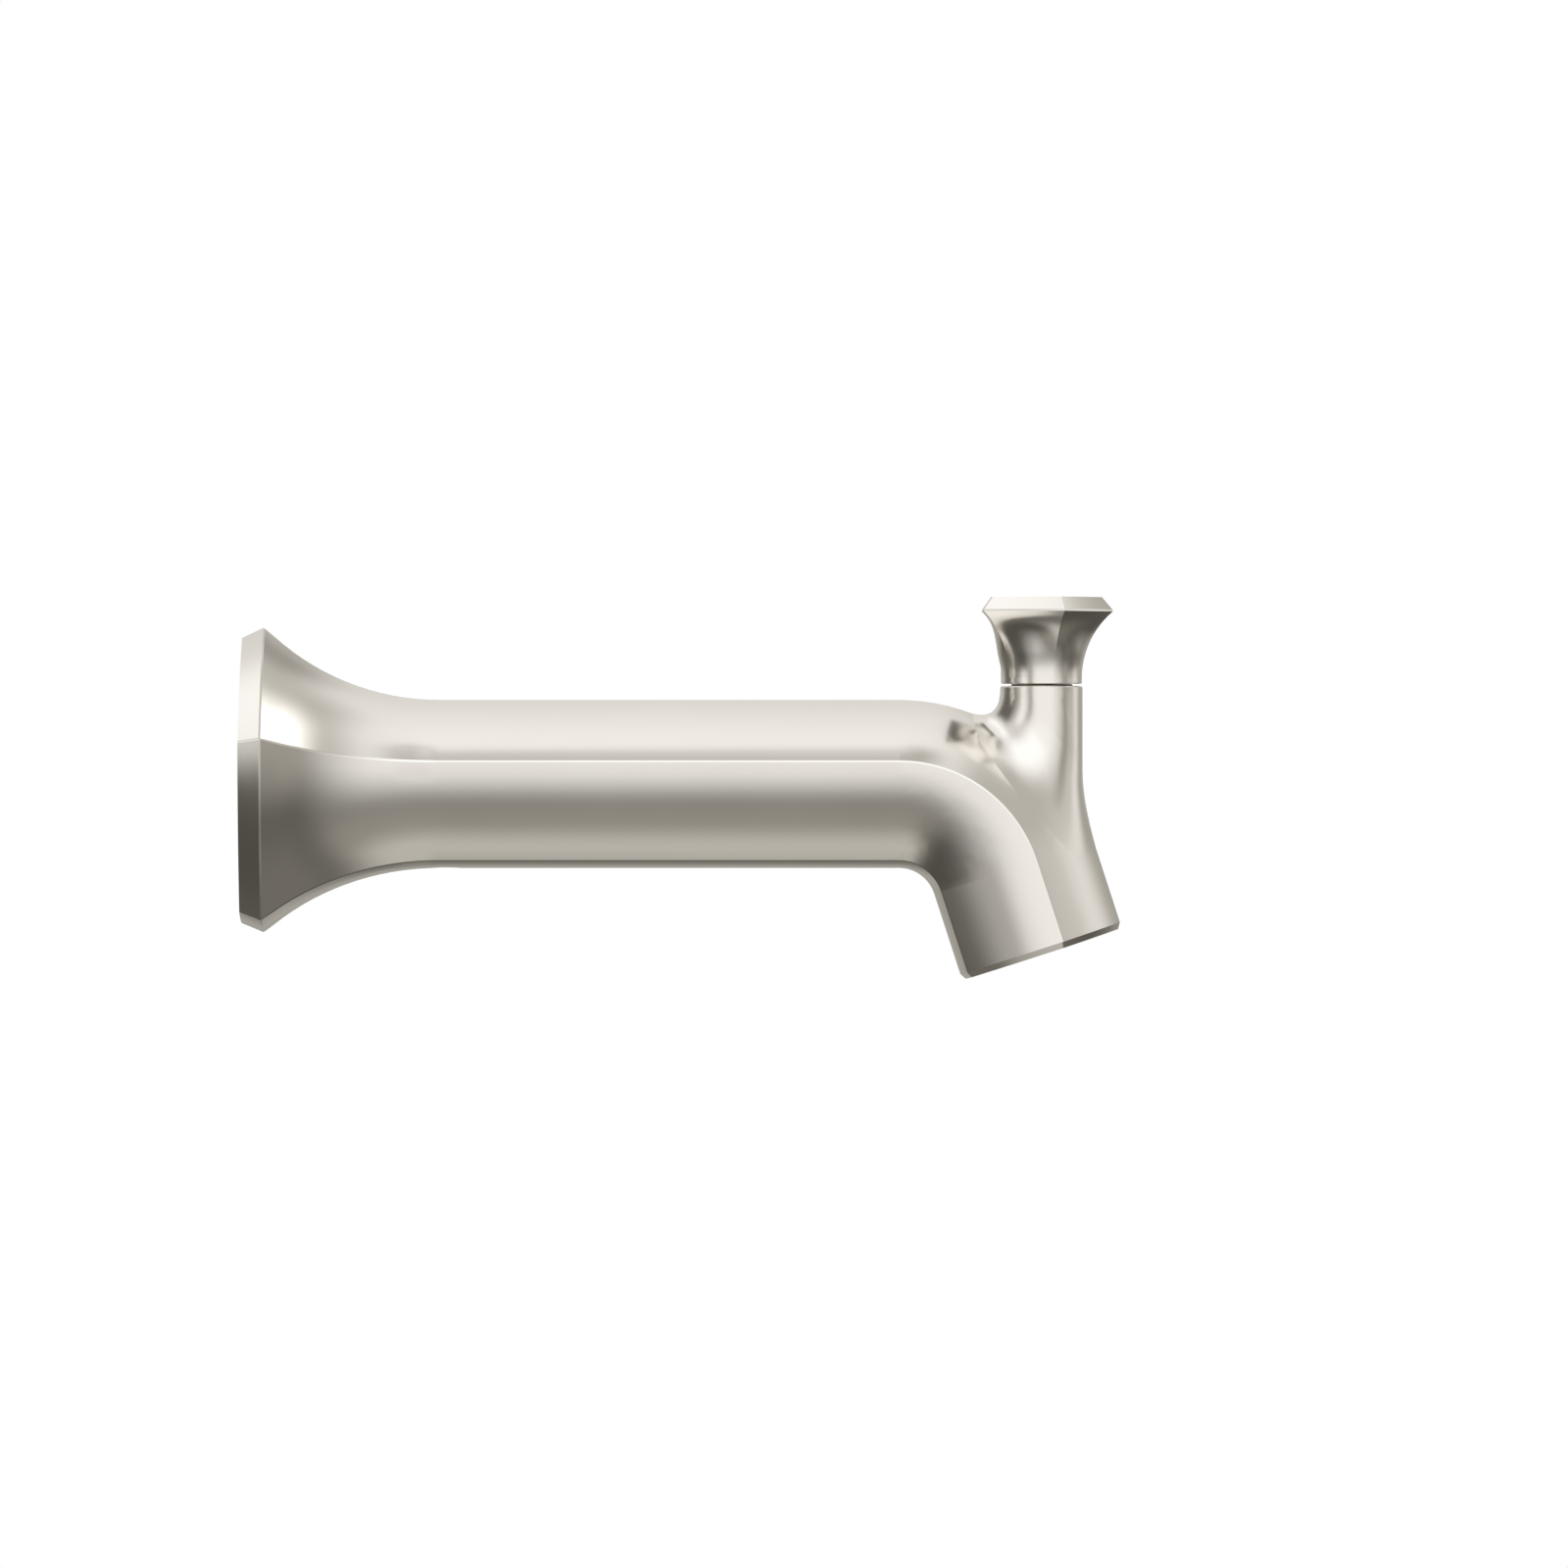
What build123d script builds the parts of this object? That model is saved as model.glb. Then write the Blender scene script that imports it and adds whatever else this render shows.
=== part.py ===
from build123d import *
import os
from math import asin, cos, hypot, radians, sin, sqrt, tan

# Wall mounted tub spout with a pull-up diverter knob on its nose.
# Millimetres. The origin is on the finished wall, at the spout's axis: +X leaves the wall, +Z is up.

# ---- outer shape of the casting ----
corner_count = 5            # every section is a five-sided outline with one corner up
side_crown = 0.08           # outward bow of each side, as a share of the corner radius
shaft_radius = 20.45        # centre to corner
rim_radius = 37.0
rim_back_radius = 34.7
rim_depth = 5.3
rim_edge_break = 0.45
corner_softening = 0.3      # each long edge is rounded from this far back along its two sides
flare_angle = 45.0          # turn of the arc that carries the rim into the shaft
flare_sections = 12
shaft_length = 150.75       # wall to the start of the bend
bend_radius = 26.7
bend_angle = 72.0
leg_length = 20.8
outlet_break_length = 1.4
outlet_break_inset = 0.9

# ---- neck that carries the diverter ----
neck_reach = 32.75          # start of the bend to the neck's axis
neck_radius = 9.45
neck_top = 23.6
neck_edge_break = 0.3
neck_sections = 12
neck_core = 5.0             # inside the neck bore, which clears it away
blend_rise = 12.0           # height of the neck's blend up the neck's sides
blend_reach = 9.0           # how far it runs out over the elbow at the sides
blend_ends = 7.8            # its rise and its reach towards the wall and the nose
blend_lean = 0.8            # the wall side gets this much more, the nose this much less
blend_land = 0.5            # straight neck always left above the blend
blend_sink = 0.1            # the blend runs out this far under the elbow's skin
slope_step = 0.01           # half the run over which the elbow's slope is taken

# ---- hollows of the casting ----
flange_hollow_radius = 27.0
flange_hollow_depth = 8.0
adapter_seat = 40.8         # where the hollow has narrowed to the adapter's bore
cavity_radius = 15.0
shoulder_step = 0.7
cavity_end = 4.75           # end of the cavity to the start of the bend
outlet_bore = 14.3
gasket_thickness = 2.5
gasket_lip = 1.4            # metal left round the gasket, corner to corner

# ---- inlet for a 15.875 mm copper tube ----
pipe_bore = 8.05
pipe_seal_stand = 0.11       # how far the seals stand into the bore
pipe_bore_length = 20.0
pipe_seal_share = 1.6        # seal to seal and to the tube's stop, in groove widths
pipe_lead = 0.8
adapter_web = 2.0
web_bore = 6.6
retainer_thickness = 1.2
retainer_bite = 0.8
retainer_width = 2.2
screw_radius = 2.95
screw_length = 8.0
screw_from_face = 5.0
screw_tip_gap = 0.25
screw_socket_radius = 1.5
screw_socket_depth = 2.5
screw_access_radius = 3.4

# ---- waterway ----
socket_bore = 9.2
socket_depth = 9.0
water_tube_radius = 8.0
water_tube_bore = 6.8
tube_end_length = 7.8
passage_radius = 4.8

# ---- diverter ----
knob_lift = 9.0
neck_bore = 7.4
well_step = 0.8             # the bore below the sleeve is this much tighter, on the radius
well_depth = 10.0           # that bore's length, which takes it into the outlet chamber
seat_land = 1.7             # metal left under the sleeve, above the outlet chamber
seat_width = 1.0            # the seat's bore is this much tighter than the piston's, on the radius
seat_length = 4.0
window_rise = 1.4           # top of the seat bore to the windows
window_width = 6.0
window_count = 4
window_relief = 0.85        # ring channel outside the windows
sleeve_wall = 2.15
piston_height = 4.0
upper_seal_share = 2.0      # seal to the windows' top, in groove widths
lower_seal_share = 1.0      # seal to the sleeve's foot, in groove widths
gland_height = 6.5
spanner_hole_radius = 0.8
spanner_hole_depth = 2.2
bushing_radius = 4.2
rod_radius = 2.4
rod_flat = 1.8              # axis to the flat that keeps the knob from turning
rod_low_radius = 1.8
rod_tail_radius = 1.5
rod_in_knob = 11.0
clip_thickness = 0.7
clip_radius = 3.2
clip_bite = 0.4
plate_clearance = 0.8       # the plate passes through the seat
plate_thickness = 0.8
washer_thickness = 1.6
disc_clearance = 0.4        # the disc drops through the bore below the sleeve
disc_thickness = 1.6
disc_margin = 0.2           # the disc stands out past its washer
nut_flats = 5.0
nut_height = 2.2
tail_spare = 0.5

# ---- knob ----
knob_gap = 0.5              # daylight between the neck and the knob
knob_collar_radius = 9.3
knob_collar_height = 1.3
knob_sweep_radius = 20.0
knob_sweep_angle = 50.0
knob_sections = 12
knob_lip_height = 0.45      # band round the widest edge
knob_lip_inset = 0.12
knob_bevel_height = 3.3     # lip and bevel together
knob_top_radius = 13.9
knob_foot_break = 0.2
knob_flat_crown = 0.023
crown_start = 5.7           # height above the knob's foot where the round collar starts to take sides
crown_end = 15.7
knob_screw_radius = 1.5
knob_screw_height = 3.6
knob_screw_depth = 0.6
knob_socket_radius = 0.75
knob_socket_depth = 1.25

# ---- outlet ----
straightener_start = 11.8   # from the top of the leg
straightener_length = 3.0
straightener_band = 1.1     # thickness of its three rings
straightener_hub = 3.2
vane_thickness = 0.9
vane_count = 12

# ---- clearances, each on the radius or on one face ----
static_fit = 0.05           # a piece that is pushed or screwed in
running_fit = 0.05          # a piece that slides
stop_gap = 0.1              # left at a stop
piston_gap = 0.3            # left over the raised piston
end_gap = 0.2               # left at the end of a plugged-in tube
seal_section = 1.3          # groove depth, and the thickness of the small seals
seal_room = 0.5             # a groove is this much wider than its seal

# ---- worked out from the above ----
side_turn = 360.0 / corner_count
half_turn = radians(side_turn / 2)
flare_radius = (rim_radius - shaft_radius) / (1 - cos(radians(flare_angle)))
flare_length = flare_radius * sin(radians(flare_angle))
circle_crown = 1 - cos(half_turn)
bend = radians(bend_angle)
leg_direction = Vector(cos(bend), 0, -sin(bend))
leg_start = Vector(shaft_length + bend_radius * sin(bend), 0, bend_radius * (cos(bend) - 1))
neck_x = shaft_length + neck_reach
pipe_seal_radius = pipe_bore - pipe_seal_stand
sleeve_radius = neck_bore - static_fit
piston_bore = sleeve_radius - sleeve_wall
seat_bore = piston_bore - seat_width
well_bore = neck_bore - well_step
disc_radius = well_bore - disc_clearance
washer_radius = disc_radius - disc_margin
plate_radius = seat_bore - plate_clearance
cavity_front = shaft_length - cavity_end
adapter_back = adapter_seat + retainer_thickness
pipe_stop = adapter_back + pipe_bore_length
rear_socket = pipe_stop + adapter_web
adapter_front = rear_socket + tube_end_length + end_gap
front_socket_end = cavity_front + socket_depth
screw_x = adapter_back + screw_from_face
chamber_top = leg_start.Z + (neck_x + neck_bore - leg_start.X) * cos(bend) / sin(bend)
sleeve_foot = chamber_top + seat_land
window_low = sleeve_foot + seat_length + window_rise
passage_z = window_low + passage_radius
window_high = passage_z + passage_radius
knob_foot = neck_top + knob_gap
gland_top = knob_foot - stop_gap
gland_foot = gland_top - gland_height
piston_top = gland_foot - piston_gap - knob_lift
piston_foot = piston_top - piston_height
washer_top = sleeve_foot - stop_gap - knob_lift
washer_foot = washer_top - washer_thickness
disc_foot = washer_foot - disc_thickness
nut_foot = disc_foot - nut_height
rod_foot = nut_foot - tail_spare


def pentagon(radius, crown=side_crown, corner_at=90.0, softening=corner_softening):
    """Five bowed sides, with the corners sharp or rounded off by small arcs."""
    bow = crown * radius
    half_side = radius * sin(half_turn)
    side_arc = (half_side ** 2 + bow ** 2) / (2 * bow)
    side_centre = radius * cos(half_turn) + bow - side_arc
    reach = asin(half_side / side_arc) - softening / side_arc
    corner_turn = 2 * half_turn - 2 * reach

    def on_side(k, swing):
        facing = radians(corner_at) + half_turn * (2 * k + 1)
        return Vector(side_centre * cos(facing) + side_arc * cos(facing + swing),
                      side_centre * sin(facing) + side_arc * sin(facing + swing))

    with BuildSketch() as outline:
        with BuildLine():
            for k in range(corner_count):
                last = on_side(k, reach)
                following = on_side(k + 1, -reach)
                ThreePointArc(on_side(k, -reach), on_side(k, 0), last)
                if softening > 0:
                    middle = (last + following) / 2
                    rise = (following - last).length / 2 * tan(corner_turn / 4)
                    ThreePointArc(last, middle * (1 + rise / middle.length), following)
        make_face()
    return outline.sketch


def pentagon_block(x_start, x_end, start_radius, end_radius):
    """A straight length of the five-sided section along X, which may widen or narrow."""
    with BuildSketch(Plane.YZ.offset(x_start)) as start:
        add(pentagon(start_radius))
    with BuildSketch(Plane.YZ.offset(x_end)) as end:
        add(pentagon(end_radius))
    loft([start.sketch, end.sketch])


def ring(plane, outer, inner, length, mode=Mode.ADD):
    """A disc, or a ring where inner isn't zero, of the given length along the plane's normal."""
    with BuildSketch(plane) as face:
        Circle(outer)
        if inner > 0:
            Circle(inner, mode=Mode.SUBTRACT)
    extrude(face.sketch, amount=length, mode=mode)


def o_ring(plane, outer, inner):
    """A round-section seal that just fills the space from inner to outer."""
    with Locations(plane):
        Torus((outer + inner) / 2, (outer - inner) / 2)


def along(x):
    return Plane.YZ.offset(x)


def neck_plane(z):
    return Plane(origin=(neck_x, 0, z), x_dir=(1, 0, 0), z_dir=(0, 0, 1))


def leg_plane(distance):
    return Plane(origin=leg_start + leg_direction * distance, x_dir=(0, 1, 0), z_dir=leg_direction)


def save(piece, name):
    piece.part.label = name
    export_step(piece.part, f"parts/{name}.step")


def side_height(offset):
    """Height of the two upper sides over the centreline, at a sideways offset."""
    bow = side_crown * shaft_radius
    half_side = shaft_radius * sin(half_turn)
    side_arc = (half_side ** 2 + bow ** 2) / (2 * bow)
    centre = shaft_radius * cos(half_turn) + bow - side_arc
    across = abs(offset) - centre * sin(half_turn)
    return centre * cos(half_turn) + sqrt(side_arc ** 2 - across ** 2)


def elbow_height(x, y):
    """Height of the elbow's upper skin."""
    return sqrt((bend_radius + side_height(y)) ** 2 - (x - shaft_length) ** 2) - bend_radius


def neck_section(turn):
    """Half-section of the neck and its blend, in the upright plane that leaves the neck's axis at turn."""
    forward = cos(radians(turn))
    sideways = sin(radians(turn))

    def skin(distance):
        return elbow_height(neck_x + distance * forward, distance * sideways)

    def slope(distance):
        return (skin(distance + slope_step) - skin(distance - slope_step)) / (2 * slope_step)

    reach = blend_reach + (blend_ends - blend_reach) * forward ** 2 - blend_lean * forward
    rise = blend_rise + (blend_ends - blend_rise) * forward ** 2 - blend_lean * forward
    toe = neck_radius + reach / hypot(1, slope(neck_radius))
    knee = skin(toe) - slope(toe) * (toe - neck_radius)
    spring = min(knee + rise, neck_top - blend_land)
    toe_z = skin(toe) - blend_sink
    with BuildSketch(Plane(origin=(neck_x, 0, 0), x_dir=(forward, sideways, 0),
                           z_dir=(sideways, -forward, 0))) as half:
        with BuildLine():
            Line((neck_core, neck_top), (neck_radius - neck_edge_break, neck_top))
            Line((neck_radius - neck_edge_break, neck_top), (neck_radius, neck_top - neck_edge_break))
            Line((neck_radius, neck_top - neck_edge_break), (neck_radius, spring))
            Bezier((neck_radius, spring), (neck_radius, knee), (toe, toe_z))
            Line((toe, toe_z), (neck_core, sleeve_foot))
            Line((neck_core, sleeve_foot), (neck_core, neck_top))
        make_face()
    return half.sketch


# ---- spout body: one hollow casting, from the flange through the elbow to the outlet ----
os.makedirs("parts", exist_ok=True)

with BuildPart() as spout_body:
    loft([neck_section(180.0 * k / neck_sections) for k in range(neck_sections + 1)])
    mirror(about=Plane.XZ)
    pentagon_block(0, rim_depth - rim_edge_break, rim_back_radius, rim_radius)
    pentagon_block(rim_depth - rim_edge_break, rim_depth, rim_radius, rim_radius - rim_edge_break / 2)
    flare_faces = []
    for k in range(flare_sections + 1):
        turn = radians(flare_angle * (1 - k / flare_sections))
        radius = shaft_radius + flare_radius * (1 - cos(turn))
        with BuildSketch(along(rim_depth + flare_length - flare_radius * sin(turn))) as flare_face:
            add(pentagon(radius - (rim_edge_break / 2 if k == 0 else 0)))
        flare_faces.append(flare_face.sketch)
    loft(flare_faces)
    with BuildSketch(along(rim_depth + flare_length)) as shaft_face:
        add(pentagon(shaft_radius))
    extrude(shaft_face.sketch, amount=shaft_length - rim_depth - flare_length)
    with BuildSketch(along(shaft_length)) as bend_face:
        add(pentagon(shaft_radius))
    revolve(bend_face.sketch, axis=Axis((shaft_length, 0, -bend_radius), (0, 1, 0)), revolution_arc=bend_angle)
    with BuildSketch(leg_plane(0)) as leg_face:
        add(pentagon(shaft_radius))
    extrude(leg_face.sketch, amount=leg_length - outlet_break_length)
    with BuildSketch(leg_plane(leg_length - outlet_break_length)) as break_face:
        add(pentagon(shaft_radius))
    with BuildSketch(leg_plane(leg_length)) as mouth_face:
        add(pentagon(shaft_radius - outlet_break_inset))
    loft([break_face.sketch, mouth_face.sketch])

    # hollow behind the flange, which narrows in one arc to the bore for the inlet adapter
    hollow_rise = flange_hollow_radius - cavity_radius
    hollow_run = adapter_seat - flange_hollow_depth
    hollow_arc = (hollow_run ** 2 + hollow_rise ** 2) / (2 * hollow_rise)
    with BuildSketch(Plane.XZ) as hollow:
        with BuildLine():
            Line((0, 0), (0, flange_hollow_radius))
            Line((0, flange_hollow_radius), (flange_hollow_depth, flange_hollow_radius))
            RadiusArc((flange_hollow_depth, flange_hollow_radius), (adapter_seat, cavity_radius), -hollow_arc)
            Polyline((adapter_seat, cavity_radius), (adapter_front, cavity_radius),
                     (adapter_front, cavity_radius - shoulder_step), (cavity_front, cavity_radius - shoulder_step),
                     (cavity_front, 0), (0, 0))
        make_face()
    revolve(hollow.sketch, axis=Axis.X, mode=Mode.SUBTRACT)
    with BuildSketch(along(0)) as gasket_recess:
        add(pentagon(rim_back_radius - gasket_lip))
    extrude(gasket_recess.sketch, amount=gasket_thickness, mode=Mode.SUBTRACT)
    ring(along(adapter_seat), cavity_radius + retainer_bite, 0, retainer_thickness, Mode.SUBTRACT)
    ring(Plane.XY.offset(-rim_radius).shift_origin((screw_x, 0, -rim_radius)),
         screw_access_radius, 0, rim_radius, Mode.SUBTRACT)

    # socket for the waterway tube, passage to the neck, neck bore and the well below it
    ring(along(cavity_front), socket_bore, 0, socket_depth, Mode.SUBTRACT)
    with BuildSketch(along(front_socket_end)) as passage:
        with Locations((0, passage_z)):
            Circle(passage_radius)
    extrude(passage.sketch, amount=neck_x - front_socket_end, mode=Mode.SUBTRACT)
    ring(neck_plane(sleeve_foot), neck_bore, 0, neck_top - sleeve_foot, Mode.SUBTRACT)
    ring(neck_plane(sleeve_foot - well_depth), well_bore, 0, well_depth, Mode.SUBTRACT)

    # outlet chamber, with the groove for the retaining ring
    ring(leg_plane(0), outlet_bore, 0, leg_length, Mode.SUBTRACT)
    ring(leg_plane(straightener_start + straightener_length), outlet_bore + retainer_bite, 0,
         retainer_thickness, Mode.SUBTRACT)
save(spout_body, "spout_body")

# ---- wall gasket: foam rubber let into the back of the flange, flush with the rim ----
with BuildPart() as wall_gasket:
    with BuildSketch(along(0)) as gasket_face:
        add(pentagon(rim_back_radius - gasket_lip - static_fit))
        Circle(flange_hollow_radius, mode=Mode.SUBTRACT)
    extrude(gasket_face.sketch, amount=gasket_thickness)
save(wall_gasket, "wall_gasket")

# ---- inlet adapter: turned brass, slides over the copper tube ----
pipe_seal_outer = pipe_bore + seal_section + seal_room
pipe_seal_width = pipe_seal_outer - pipe_seal_radius
pipe_seal_places = [pipe_stop - pipe_seal_share * pipe_seal_width * k for k in (1, 2)]
with BuildPart() as inlet_adapter:
    ring(along(adapter_back), cavity_radius - static_fit, 0, adapter_front - adapter_back)
    ring(along(adapter_back), pipe_bore, 0, pipe_bore_length, Mode.SUBTRACT)
    ring(along(pipe_stop), web_bore, 0, adapter_web, Mode.SUBTRACT)
    ring(along(rear_socket), socket_bore, 0, adapter_front - rear_socket, Mode.SUBTRACT)
    for place in pipe_seal_places:
        ring(along(place - pipe_seal_width / 2), pipe_seal_outer, 0, pipe_seal_width, Mode.SUBTRACT)
    with BuildSketch(along(adapter_back)) as lead_mouth:
        Circle(pipe_bore + pipe_lead)
    with BuildSketch(along(adapter_back + pipe_lead)) as lead_end:
        Circle(pipe_bore)
    loft([lead_mouth.sketch, lead_end.sketch], mode=Mode.SUBTRACT)
    ring(Plane.XY.offset(-cavity_radius).shift_origin((screw_x, 0, -cavity_radius)),
         screw_radius + static_fit, 0, cavity_radius, Mode.SUBTRACT)
save(inlet_adapter, "inlet_adapter")

# ---- two rubber seals round the copper tube ----
with BuildPart() as inlet_o_rings:
    for place in pipe_seal_places:
        o_ring(along(place), pipe_seal_outer, pipe_seal_radius)
save(inlet_o_rings, "inlet_o_rings")

# ---- sprung steel ring that keeps the adapter in its bore ----
with BuildPart() as adapter_retaining_ring:
    ring(along(adapter_seat), cavity_radius + retainer_bite - static_fit,
         cavity_radius + retainer_bite - retainer_width, retainer_thickness)
    with BuildSketch(along(adapter_seat)) as ring_split:
        with Locations((0, cavity_radius)):
            Rectangle(2 * retainer_width, 2 * retainer_width)
    extrude(ring_split.sketch, amount=retainer_thickness, mode=Mode.SUBTRACT)
save(adapter_retaining_ring, "adapter_retaining_ring")

# ---- set screw that grips the copper tube from below ----
screw_tip = -pipe_bore - screw_tip_gap
with BuildPart() as inlet_set_screw:
    ring(Plane.XY.shift_origin((screw_x, 0, 0)).offset(screw_tip - screw_length), screw_radius, 0, screw_length)
    with BuildSketch(Plane.XY.shift_origin((screw_x, 0, 0)).offset(screw_tip - screw_length)) as key_socket:
        RegularPolygon(screw_socket_radius, 6)
    extrude(key_socket.sketch, amount=screw_socket_depth, mode=Mode.SUBTRACT)
save(inlet_set_screw, "inlet_set_screw")

# ---- plastic waterway tube with a thickened, grooved plug at each end ----
seal_groove_width = seal_section + seal_room
tube_back = rear_socket + end_gap
tube_front = front_socket_end - end_gap
tube_plug_radius = socket_bore - static_fit
rear_seal_x = tube_back + tube_end_length / 2
front_seal_x = tube_front - tube_end_length / 2
with BuildPart() as waterway_tube:
    ring(along(tube_back), water_tube_radius, 0, tube_front - tube_back)
    ring(along(tube_back), tube_plug_radius, 0, tube_end_length)
    ring(along(tube_front - tube_end_length), tube_plug_radius, 0, tube_end_length)
    for seal_x in (rear_seal_x, front_seal_x):
        ring(along(seal_x - seal_groove_width / 2), socket_bore, socket_bore - seal_section,
             seal_groove_width, Mode.SUBTRACT)
    ring(along(tube_back), water_tube_bore, 0, tube_front - tube_back, Mode.SUBTRACT)
save(waterway_tube, "waterway_tube")

with BuildPart() as tube_rear_o_ring:
    o_ring(along(rear_seal_x), socket_bore, socket_bore - seal_section)
save(tube_rear_o_ring, "tube_rear_o_ring")

with BuildPart() as tube_front_o_ring:
    o_ring(along(front_seal_x), socket_bore, socket_bore - seal_section)
save(tube_front_o_ring, "tube_front_o_ring")

# ---- valve sleeve: water enters through its windows, and its foot is the valve seat ----
upper_seal_z = window_high + upper_seal_share * seal_groove_width
lower_seal_z = sleeve_foot + lower_seal_share * seal_groove_width
with BuildPart() as valve_sleeve:
    ring(neck_plane(sleeve_foot), sleeve_radius, 0, gland_foot - sleeve_foot)
    ring(neck_plane(sleeve_foot), seat_bore, 0, seat_length, Mode.SUBTRACT)
    ring(neck_plane(sleeve_foot + seat_length), piston_bore, 0, gland_foot - sleeve_foot, Mode.SUBTRACT)
    ring(neck_plane(window_low), neck_bore, neck_bore - window_relief, window_high - window_low, Mode.SUBTRACT)
    with BuildSketch(neck_plane(window_low)) as windows:
        with PolarLocations(neck_bore, window_count):
            Rectangle(2 * (neck_bore - seat_bore), window_width)
    extrude(windows.sketch, amount=window_high - window_low, mode=Mode.SUBTRACT)
    for seal_z in (upper_seal_z, lower_seal_z):
        ring(neck_plane(seal_z - seal_groove_width / 2), neck_bore, neck_bore - seal_section,
             seal_groove_width, Mode.SUBTRACT)
save(valve_sleeve, "valve_sleeve")

with BuildPart() as sleeve_upper_o_ring:
    o_ring(neck_plane(upper_seal_z), neck_bore, neck_bore - seal_section)
save(sleeve_upper_o_ring, "sleeve_upper_o_ring")

with BuildPart() as sleeve_lower_o_ring:
    o_ring(neck_plane(lower_seal_z), neck_bore, neck_bore - seal_section)
save(sleeve_lower_o_ring, "sleeve_lower_o_ring")

# ---- gland nut: screws into the neck, holds the sleeve down and carries the rod's bushing ----
with BuildPart() as gland_nut:
    ring(neck_plane(gland_foot), neck_bore - static_fit, bushing_radius + static_fit, gland_height)
    with BuildSketch(neck_plane(gland_top)) as spanner_holes:
        with PolarLocations((neck_bore + bushing_radius) / 2, 2, start_angle=90):
            Circle(spanner_hole_radius)
    extrude(spanner_holes.sketch, amount=-spanner_hole_depth, mode=Mode.SUBTRACT)
save(gland_nut, "gland_nut")


def rod_outline(radius, flat):
    """A round with one flat, which faces the wall."""
    with BuildSketch() as outline:
        Circle(radius)
        with Locations((-flat - radius, 0)):
            Rectangle(2 * radius, 4 * radius, mode=Mode.SUBTRACT)
    return outline.sketch


with BuildPart() as rod_bushing:
    ring(neck_plane(gland_foot), bushing_radius, 0, gland_height)
    with BuildSketch(neck_plane(gland_foot)) as bushing_hole:
        add(rod_outline(rod_radius + running_fit, rod_flat + running_fit))
    extrude(bushing_hole.sketch, amount=gland_height, mode=Mode.SUBTRACT)
save(rod_bushing, "rod_bushing")

# ---- knob: five-sided pull, round at the collar, with a point away from the wall ----
sweep = radians(knob_sweep_angle)
knob_edge_radius = knob_collar_radius + knob_sweep_radius * (1 - cos(sweep))
knob_sweep_foot = knob_foot + knob_collar_height
knob_edge_z = knob_sweep_foot + knob_sweep_radius * sin(sweep)
knob_top = knob_edge_z + knob_bevel_height


def knob_crown(z):
    """Bow of the knob's sides: a full round at the collar, nearly straight at the widest edge."""
    share = (z - knob_foot - crown_start) / (crown_end - crown_start)
    share = min(max(share, 0), 1)
    share = share * share * (3 - 2 * share)
    return circle_crown + (knob_flat_crown - circle_crown) * share


with BuildPart() as knob:
    knob_faces = []
    for k in range(knob_sections + 1):
        turn = sweep * k / knob_sections
        z = knob_sweep_foot + knob_sweep_radius * sin(turn)
        with BuildSketch(neck_plane(z)) as knob_face:
            add(pentagon(knob_collar_radius + knob_sweep_radius * (1 - cos(turn)), knob_crown(z), 0.0, 0))
        knob_faces.append(knob_face.sketch)
    loft(knob_faces)
    ring(neck_plane(knob_foot), knob_collar_radius, 0, knob_collar_height)
    with BuildSketch(neck_plane(knob_edge_z)) as lip_foot:
        add(pentagon(knob_edge_radius, knob_flat_crown, 0.0, 0))
    with BuildSketch(neck_plane(knob_edge_z + knob_lip_height)) as lip_top:
        add(pentagon(knob_edge_radius - knob_lip_inset, knob_flat_crown, 0.0, 0))
    with BuildSketch(neck_plane(knob_top)) as bevel_top:
        add(pentagon(knob_top_radius, knob_flat_crown, 0.0, 0))
    loft([lip_foot.sketch, lip_top.sketch])
    loft([lip_top.sketch, bevel_top.sketch])
    chamfer(knob.edges().group_by(Axis.Z)[0], knob_foot_break)
    with BuildSketch(neck_plane(knob_foot)) as rod_hole:
        add(rod_outline(rod_radius + static_fit, rod_flat + static_fit))
    extrude(rod_hole.sketch, amount=rod_in_knob + end_gap, mode=Mode.SUBTRACT)
    with BuildSketch(Plane.YZ.offset(neck_x - rod_flat)) as screw_hole:
        with Locations((0, knob_foot + knob_screw_height)):
            Circle(knob_screw_radius + static_fit)
    extrude(screw_hole.sketch, amount=-2 * knob_collar_radius, mode=Mode.SUBTRACT)
save(knob, "knob")

# ---- grub screw in the back of the knob, which bears on the rod's flat ----
grub_outer = neck_x - knob_collar_radius + knob_screw_depth
grub_tip = neck_x - rod_flat - static_fit
with BuildPart() as knob_set_screw:
    with BuildSketch(Plane.YZ.offset(grub_outer)) as grub_face:
        with Locations((0, knob_foot + knob_screw_height)):
            Circle(knob_screw_radius)
    extrude(grub_face.sketch, amount=grub_tip - grub_outer)
    with BuildSketch(Plane.YZ.offset(grub_outer)) as grub_socket:
        with Locations((0, knob_foot + knob_screw_height)):
            RegularPolygon(knob_socket_radius, 6)
    extrude(grub_socket.sketch, amount=knob_socket_depth, mode=Mode.SUBTRACT)
save(knob_set_screw, "knob_set_screw")

# ---- lift rod: flatted where it passes the bushing, stepped down for the piston and the valve ----
plate_top = washer_top + plate_thickness
with BuildPart() as lift_rod:
    with BuildSketch(neck_plane(piston_top)) as rod_face:
        add(rod_outline(rod_radius, rod_flat))
    extrude(rod_face.sketch, amount=knob_foot + rod_in_knob - piston_top)
    ring(neck_plane(plate_top), rod_low_radius, 0, piston_top - plate_top)
    ring(neck_plane(rod_foot), rod_tail_radius, 0, plate_top - rod_foot)
    ring(neck_plane(piston_foot - clip_thickness), rod_low_radius, rod_low_radius - clip_bite,
         clip_thickness, Mode.SUBTRACT)
save(lift_rod, "lift_rod")

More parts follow.
